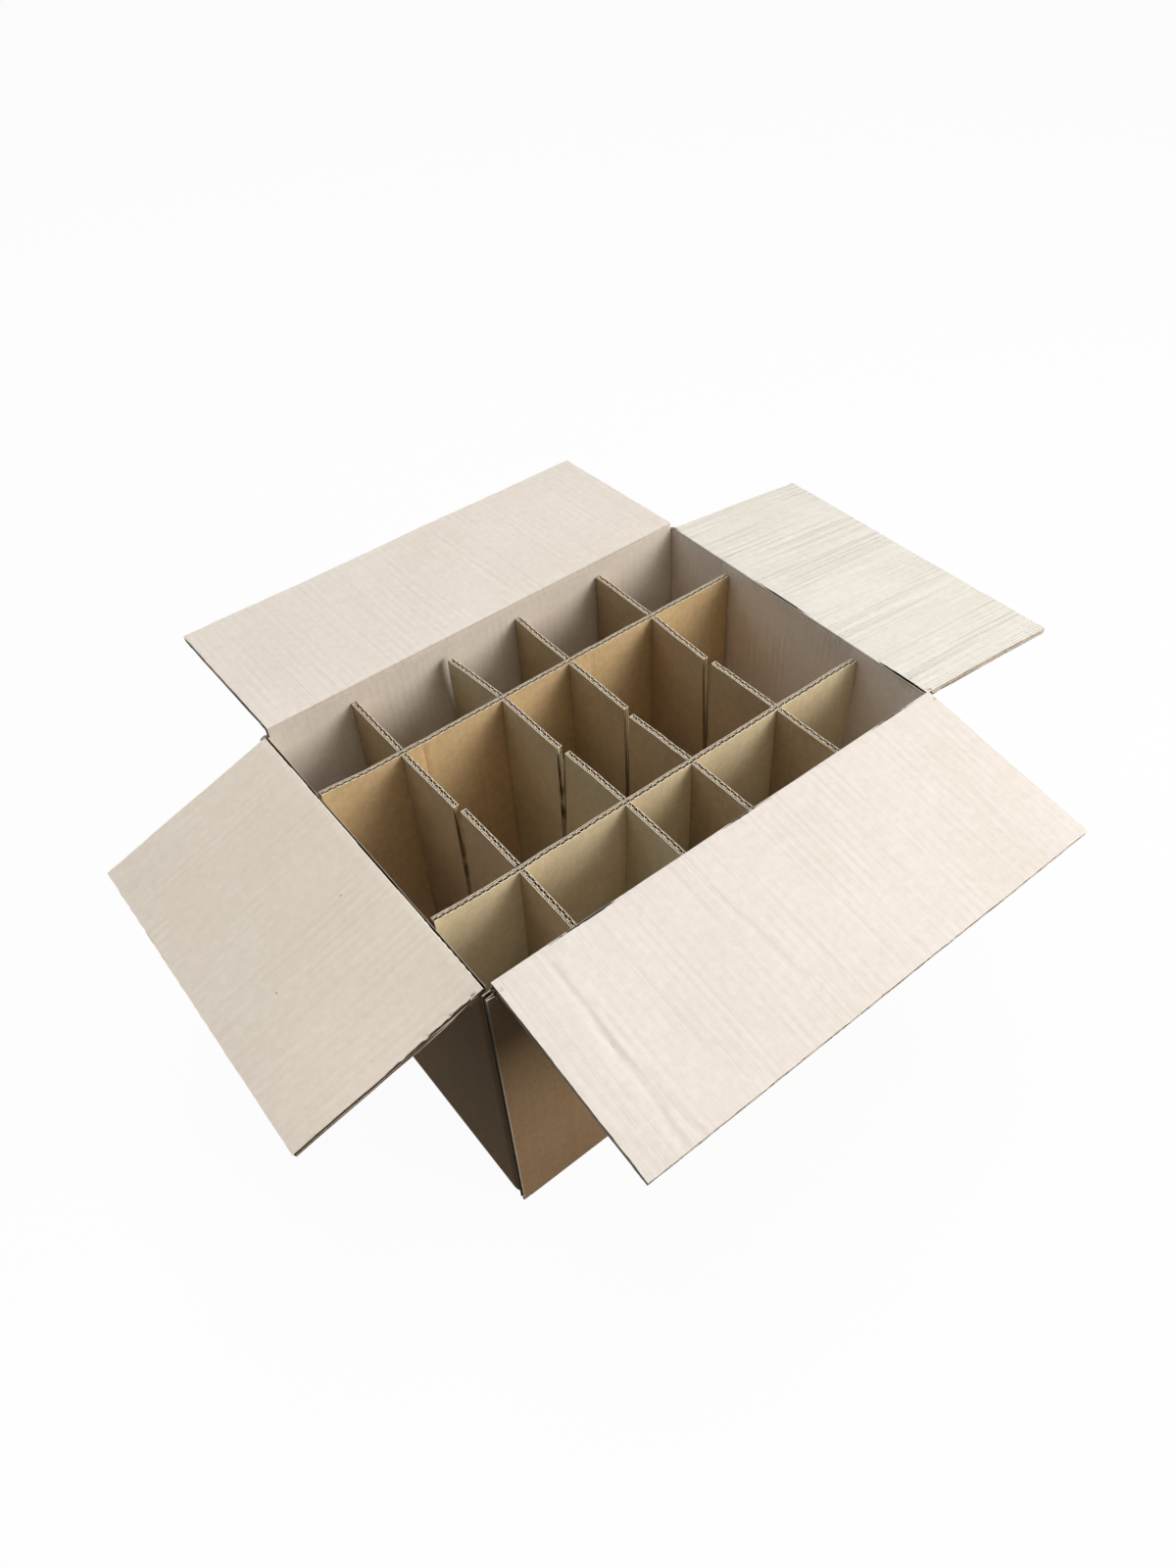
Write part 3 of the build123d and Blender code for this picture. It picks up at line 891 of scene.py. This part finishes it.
def fold_liner(name):
    """The inner paper over the crease, a small rounding puckered at every flute. One half
    stays on the wall and reaches on under the other half, which turns with the flap;
    both ends rise just over the faces that they join and then dip under them."""
    shape = FLAPS[name]
    a = steps(-shape["half"], shape["half"], COARSE_PITCH / 5)
    flap_angle = math.pi / 2 - math.radians(shape["droop"])
    middle = (math.pi + flap_angle) / 2
    turn_wall = np.linspace(math.pi, middle, 9)
    turn_under = np.linspace(middle, 1.25, 10)[1:]
    turn_flap = np.linspace(middle, flap_angle, 9)
    rim = np.linspace(0.0, 10.0, 9)[1:]

    angle = np.concatenate([np.full(8, math.pi), turn_wall, turn_under])
    below = np.concatenate([rim[::-1], np.zeros(18)])
    under = np.concatenate([np.zeros(17), np.ones(9)])
    spots = inner_section(a, shape, angle, below, 0 * below, under)
    strip(name, spots, "carton", "inner", (-below)[:, None])

    angle = np.concatenate([turn_flap, np.full(8, flap_angle)])
    beyond = np.concatenate([np.zeros(9), rim])
    spots = inner_section(a, shape, angle, 0 * beyond, beyond, 0 * beyond)
    strip(name, spots, name, "inner", beyond[:, None])


def section_grids(a, out, up):
    """A section's line as (a, out, up) grids, its last row first, to face outwards."""
    a_grid, out_grid = np.meshgrid(a, out[::-1])
    return a_grid, out_grid, np.broadcast_to(up[::-1, None], out_grid.shape)


def outer_fold_liner(name):
    """The outer paper at the crease. On the wall it goes straight up and then over in a
    quarter circle inside the flap's root; on the flap it goes straight to the crease.
    Open, the two strips meet in the fold's inner corner; closed, they go round it."""
    shape = FLAPS[name]
    droop = math.radians(shape["droop"])
    a = steps(-shape["half"], shape["half"], 12.0)
    rise = np.linspace(-13.0, 0.0, 6)
    b = np.linspace(0.0, 13.0, 6)
    turn = np.linspace(0.0, math.pi / 2, 10)[1:]
    on_wall, on_flap = [], []
    for skin in (0.0, FOLD_SKIN):
        radius = OUTER_FOLD - 0.5 * smooth(turn, 0.35, 1.13) - skin
        out = np.concatenate([np.full(6, OUTER_FOLD - skin), radius * np.cos(turn)])
        wall_up = np.concatenate([rise, radius * np.sin(turn)])
        on_wall.append(section_grids(a, out, wall_up))
        c = skin - OUTER_FOLD
        out = b * math.cos(droop) + c * math.sin(droop)
        on_flap.append(section_grids(a, out, c * math.cos(droop) - b * math.sin(droop)))
    strip(name, on_wall, "carton", "outer", wall_up[::-1, None])
    strip(name, on_flap, name, "outer", b[::-1, None])


# ---- the dividers


def edge_wear(a, b, seed):
    """How far the raw top edge is pressed down and in: small random dips that fade out
    a few millimetres below the edge."""
    near = smooth(b, DIVIDER_HEIGHT - 9.0, DIVIDER_HEIGHT)
    dip = near * (0.25 + 0.35 * np.abs(ripple(a, 0 * a, seed, 23.0)))
    return near, dip


# Rows of the dividers' papers above and below the slots' ends, as shares of the height.
UPPER_ROWS = np.array([0, 0.3, 0.6, 0.8, 0.9, 0.95, 0.975, 0.99, 1.0])
LOWER_ROWS = np.array([0, 0.2, 0.5, 0.8, 1.0])
UPPER_FEW = np.array([0, 0.3, 0.6, 0.8, 0.9, 0.975, 1.0])
LOWER_FEW = np.array([0, 0.5, 1.0])


def divider_place(origin, heading, seed, bend):
    """Stands a flat board up: heading "long" runs a along +x with the coarse side to
    the front, "cross" runs a along +y with the coarse side to the right."""

    def place(flat):
        a, b, c = flat.T
        near, dip = edge_wear(a, b, seed)
        c = c * (1.0 - 0.12 * near) + 0.3 * near * ripple(a, b, seed + 1, 40.0)
        c = c + 0.5 * ripple(a, b, seed + 2, 210.0) * smooth(b, 160, 290)
        a, b, c = bend(a, b, c)
        b = b - dip
        x0, y0, z0 = origin
        if heading == "long":
            return np.stack([x0 + a, y0 - c, z0 + b], axis=1)
        return np.stack([x0 + c, y0 + a, z0 + b], axis=1)

    return place


def long_divider(name, y, seed):
    """Long board of an insert: whole along its top, four slots up from its foot."""
    half = LONG_DIVIDER_HALF
    seam = DIVIDER_HEIGHT / 2 + 1.0
    papers = board(-half, half, level(seam), level(DIVIDER_HEIGHT), UPPER_ROWS, UPPER_FEW)
    edges = [-half] + [x + s * SLOT_HALF for x in CROSS_X for s in (-1, 1)] + [half]
    for start, end in zip(edges[::2], edges[1::2]):
        papers += board(start, end, level(0.0), level(seam), LOWER_ROWS, LOWER_FEW)
    place = divider_place((0.0, y, DIVIDER_FOOT), "long", seed, LONG_BENDS[name])
    divider_piece(name, papers, place)


def scuff_and_highlight_end(points, faces, kinds):
    """The outer face's last strip at the wall end takes the pale cut-edge finish: fibre
    worn pale, and a painted highlight where the crushed edge would catch the light.
    """
    middle = points[faces].mean(axis=1)
    scuff_and_highlight = (middle[:, 0] > CROSS_DIVIDER_HALF - 2.4) & (middle[:, 1] > BEND_FOOT)
    scuff_and_highlight = scuff_and_highlight & (middle[:, 1] < DIVIDER_HEIGHT - 7.0)
    return points, faces, np.where(scuff_and_highlight & (kinds == KRAFT), EDGE, kinds)


def cross_divider(name, x, y, seed):
    """Cross board of an insert: whole along its foot, one slot down from its top."""
    half = CROSS_DIVIDER_HALF
    seam = DIVIDER_HEIGHT / 2 - 1.0
    papers = board(-half, half, level(0.0), level(seam), LOWER_ROWS, LOWER_FEW)
    for start, end in ((-half, -SLOT_HALF), (SLOT_HALF, half)):
        papers += board(start, end, level(seam), level(DIVIDER_HEIGHT), UPPER_ROWS, UPPER_FEW)
    spot = (half - 0.5) * (-1.0 if "_back_" in name else 1.0)
    rows = np.linspace(0.0, 1.0, 24) if name in RAGGED_ENDS else UPPER_ROWS
    papers.append(closed_end(spot, level(0.0), level(seam), LOWER_ROWS))
    papers.append(closed_end(spot, level(seam), level(DIVIDER_HEIGHT), rows))
    if "_back_" in name:
        papers = [scuff_and_highlight_end(*paper) for paper in papers]
    place = divider_place((x, y, DIVIDER_FOOT), "cross", seed, cross_bend(name))
    divider_piece(name, papers, place)


def divider_piece(name, papers, place):
    """The dividers stand loose in the carton and ride with it."""
    piece = make_piece(name + "_board", papers, place, divider_finishes(name))
    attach(piece, "carton")
    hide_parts(name)


# How a cross board's top is out of its place, in mm: sideways at the wall end, at the
# slot and at the middle end; shorter at the wall end and at the middle end; and lower
# at the middle end.
CROSS_BENDS = {
    "cross_divider_back_1": (0, 0, 1, 0, 0, 0.5),
    "cross_divider_back_2": (-6.5, 0, 3, 7, 0, 3),
    "cross_divider_back_3": (0, 0, 0, 0, 0, 2),
    "cross_divider_back_4": (0, 0, -2, 0, 3.5, 1.5),
    "cross_divider_front_1": (0, 2.4, 3.5, 0, 0.5, 2.5),
    "cross_divider_front_2": (3, 4.4, 5.5, 0, 1, 5.5),
    "cross_divider_front_3": (0, 0, 0, 0, 2, 5.5),
    "cross_divider_front_4": (0, 0, 0, 0, 0, 2),
}
# How deep the ragged middle ends are cut; the others have only a trace.
RAGGED_ENDS = {"cross_divider_back_2": 1.8, "cross_divider_back_1": 0.5}


def cross_bend(name):
    """A cross board bends more towards its top, where its corners also draw back."""
    wall_end, slot, middle_end, wall_short, middle_short, low = CROSS_BENDS[name]
    outward = 1.0 if "_back_" in name else -1.0
    half = CROSS_DIVIDER_HALF

    def bend(a, b, c):
        reach = a * outward
        upper = smooth(b, BEND_FOOT, DIVIDER_HEIGHT)
        side = np.interp(reach, (-half, 0.0, half), (middle_end, slot, wall_end)) * upper
        back = wall_short * upper * smooth(reach, 40.0, half)
        back = back - middle_short * upper * smooth(-reach, 40.0, half)
        rag = RAGGED_ENDS.get(name, 0.1) * (0.6 + 0.4 * ripple(b, 6.0 * c, 81, 16.0))
        back = back - rag * smooth(-reach, half - 3.5, half)
        drop = low * np.clip(-reach / half, 0.0, 1.0) * upper
        return a - back * outward, b - drop, c + side

    return bend


def long_bend(marks, end_lean, short):
    """A long board's left top end leans aside and is worn shorter."""

    def bend(a, b, c):
        near_end = smooth(-a, 175.0, 227.0) * smooth(b, BEND_FOOT, DIVIDER_HEIGHT)
        worn = short * smooth(-a, 190.0, 227.0) * smooth(b, BEND_FOOT, 300.0)
        c = c + sum(crease(a, b, *mark) for mark in marks)
        return a + worn, b, c + end_lean * near_end

    return bend


# The fold marks of each long board, and how far its left top end leans and is worn.
LONG_BENDS = {
    "long_divider_back": long_bend(
        (((-126.5, 308), (-125.5, 215), 1.2, 1.8), ((58, 308), (58.5, 235), 1, 1.8)),
        -3, 4.2,
    ),
    "long_divider_front": long_bend((((120, 308), (121, 240), 0.4, 1.8),), -2, 5.5),
}


# ---- everything in place

carton()
for flap_name in FLAPS:
    flap(flap_name)
    fold_liner(flap_name)
    outer_fold_liner(flap_name)
for insert, side in (("back", 1), ("front", -1)):
    long_divider("long_divider_" + insert, side * DIVIDER_Y, 40 + side)
    for number, x in enumerate(CROSS_X, start=1):
        cross_name = f"cross_divider_{insert}_{number}"
        cross_divider(cross_name, x, side * DIVIDER_Y, 50 + 5 * number + side)


# ---- floor, light, camera


def floor():
    """A wide pale floor. It shows almost white and still takes the box's soft shadow."""
    half, z = 14.0, -0.0006
    corners = [(-half, -half, z), (half, -half, z), (half, half, z), (-half, half, z)]
    mesh = bpy.data.meshes.new("floor")
    mesh.from_pydata(corners, [], [(0, 1, 2, 3)])
    piece = add_object("floor", mesh)
    material = bpy.data.materials.new("pale_floor")
    n = Nodes(material)
    n.shader.inputs["Base Color"].default_value = (0.09, 0.088, 0.085, 1.0)
    n.shader.inputs["Roughness"].default_value = 1.0
    n.shader.inputs["Specular IOR Level"].default_value = 0.0
    rays = n.add("ShaderNodeLightPath").outputs
    mirrored = n.math("MAXIMUM", rays["Is Glossy Ray"], rays["Is Transmission Ray"])
    straight = n.math("MAXIMUM", rays["Is Camera Ray"], mirrored)
    white = n.add("ShaderNodeEmission", {"Color": (1.0, 1.0, 1.0, 1.0), "Strength": 1.0})
    pale = n.add("ShaderNodeBsdfDiffuse", {"Color": (0.9, 0.9, 0.9, 1.0)})
    shown = n.add("ShaderNodeMixShader", {0: 0.045, 1: white.outputs[0], 2: pale.outputs[0]})
    both = n.add(
        "ShaderNodeMixShader", {0: straight, 1: n.shader.outputs[0], 2: shown.outputs[0]}
    )
    n.put(both.outputs[0], n.tree.nodes["Material Output"].inputs["Surface"])
    mesh.materials.append(material)
    piece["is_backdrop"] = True


def looking(forward):
    """Unit vectors to the right and upwards of a heading, and along it."""
    forward = forward / np.linalg.norm(forward)
    right = np.cross(forward, [0.0, 0.0, 1.0])
    right /= np.linalg.norm(right)
    return right, np.cross(right, forward), forward


def stand(data, place, right, up, forward):
    """Puts a lamp or a camera in its place."""
    holder = add_object(data.name, data)
    rows = [[right[i], up[i], -forward[i], place[i]] for i in range(3)]
    holder.matrix_world = Matrix([*rows, [0, 0, 0, 1]])
    return holder


def soft_light(name, place, power, colour=(1.0, 1.0, 1.0)):
    """A square soft lamp that faces the middle of the box."""
    lamp = bpy.data.lights.new(name, "AREA")
    lamp.shape = "SQUARE"
    lamp.size = 1.6
    lamp.energy = power
    lamp.color = colour
    stand(lamp, place, *looking(np.array([0.0, 0.0, 0.2]) - place))


# Heading and strength of the room's two glows.
SKY_LIGHTS = (
    ((0.0, 0.8, 0.6), 0.83),
    ((0.0, -1.0, 0.12), 0.15),
)


def sky():
    """Soft light, strongest from high behind and faint from low in front, each falling
    off as the cube of the cosine; plain white where the camera looks past the floor."""
    world = bpy.data.worlds.new("soft_room")
    bpy.context.scene.world = world
    n = Nodes(world)
    direction = n.add("ShaderNodeTexCoord").outputs["Generated"]
    total = 0.0
    for heading, strength in SKY_LIGHTS:
        unit = np.array(heading) / np.linalg.norm(heading)
        facing = n.add("ShaderNodeVectorMath", {0: direction, 1: unit}, operation="DOT_PRODUCT")
        glow = n.math("POWER", n.math("MAXIMUM", facing.outputs["Value"], 0.0), 3.0)
        total = n.plus(n.times(glow, strength), total)
    rays = n.add("ShaderNodeLightPath").outputs
    straight = n.math("MAXIMUM", rays["Is Camera Ray"], rays["Is Transmission Ray"])
    room = n.tree.nodes["Background"]
    n.put(total, room.inputs["Strength"])
    room.inputs["Color"].default_value = (0.985, 1.0, 1.03, 1.0)
    white = n.add("ShaderNodeBackground", {"Color": (1.0, 1.0, 1.0, 1.0), "Strength": 1.0})
    both = n.add("ShaderNodeMixShader", {0: straight, 1: room.outputs[0], 2: white.outputs[0]})
    n.put(both.outputs[0], n.tree.nodes["World Output"].inputs["Surface"])


def camera():
    """The photograph's view: above the front left corner, looking down into the box."""
    yaw, pitch, roll = np.radians([54.243, 46.896, -3.505])
    across, upward, forward = looking(
        [math.cos(pitch) * math.cos(yaw), math.cos(pitch) * math.sin(yaw), -math.sin(pitch)]
    )
    right = math.cos(roll) * across + math.sin(roll) * upward
    up = -math.sin(roll) * across + math.cos(roll) * upward
    lens = bpy.data.cameras.new("photo_view")
    lens.sensor_fit = "AUTO"
    lens.sensor_width = 36.0
    # A focal length of 1187 pixels on a picture 1600 pixels wide.
    lens.lens = 1187.0 / 1600.0 * lens.sensor_width
    lens.clip_start = 0.01
    holder = stand(lens, (-0.4284, -0.57554, 1.01169), right, up, forward)
    bpy.context.scene.camera = holder


floor()
sky()
soft_light("front_right_light", (1.40, -2.10, 1.41), 58.0, (1.0, 0.955, 0.895))
soft_light("overhead_light", (0.14, 0.0, 3.0), 35.0)
soft_light("back_left_light", (-0.85, 1.41, 2.46), 7.0)
camera()
bpy.context.scene.view_settings.view_transform = "Standard"

bpy.context.view_layer.update()
boxes = {"cad": cad_box, "shown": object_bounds()}
{k: [[float(v) for v in corner] for corner in box] for k, box in boxes.items()}
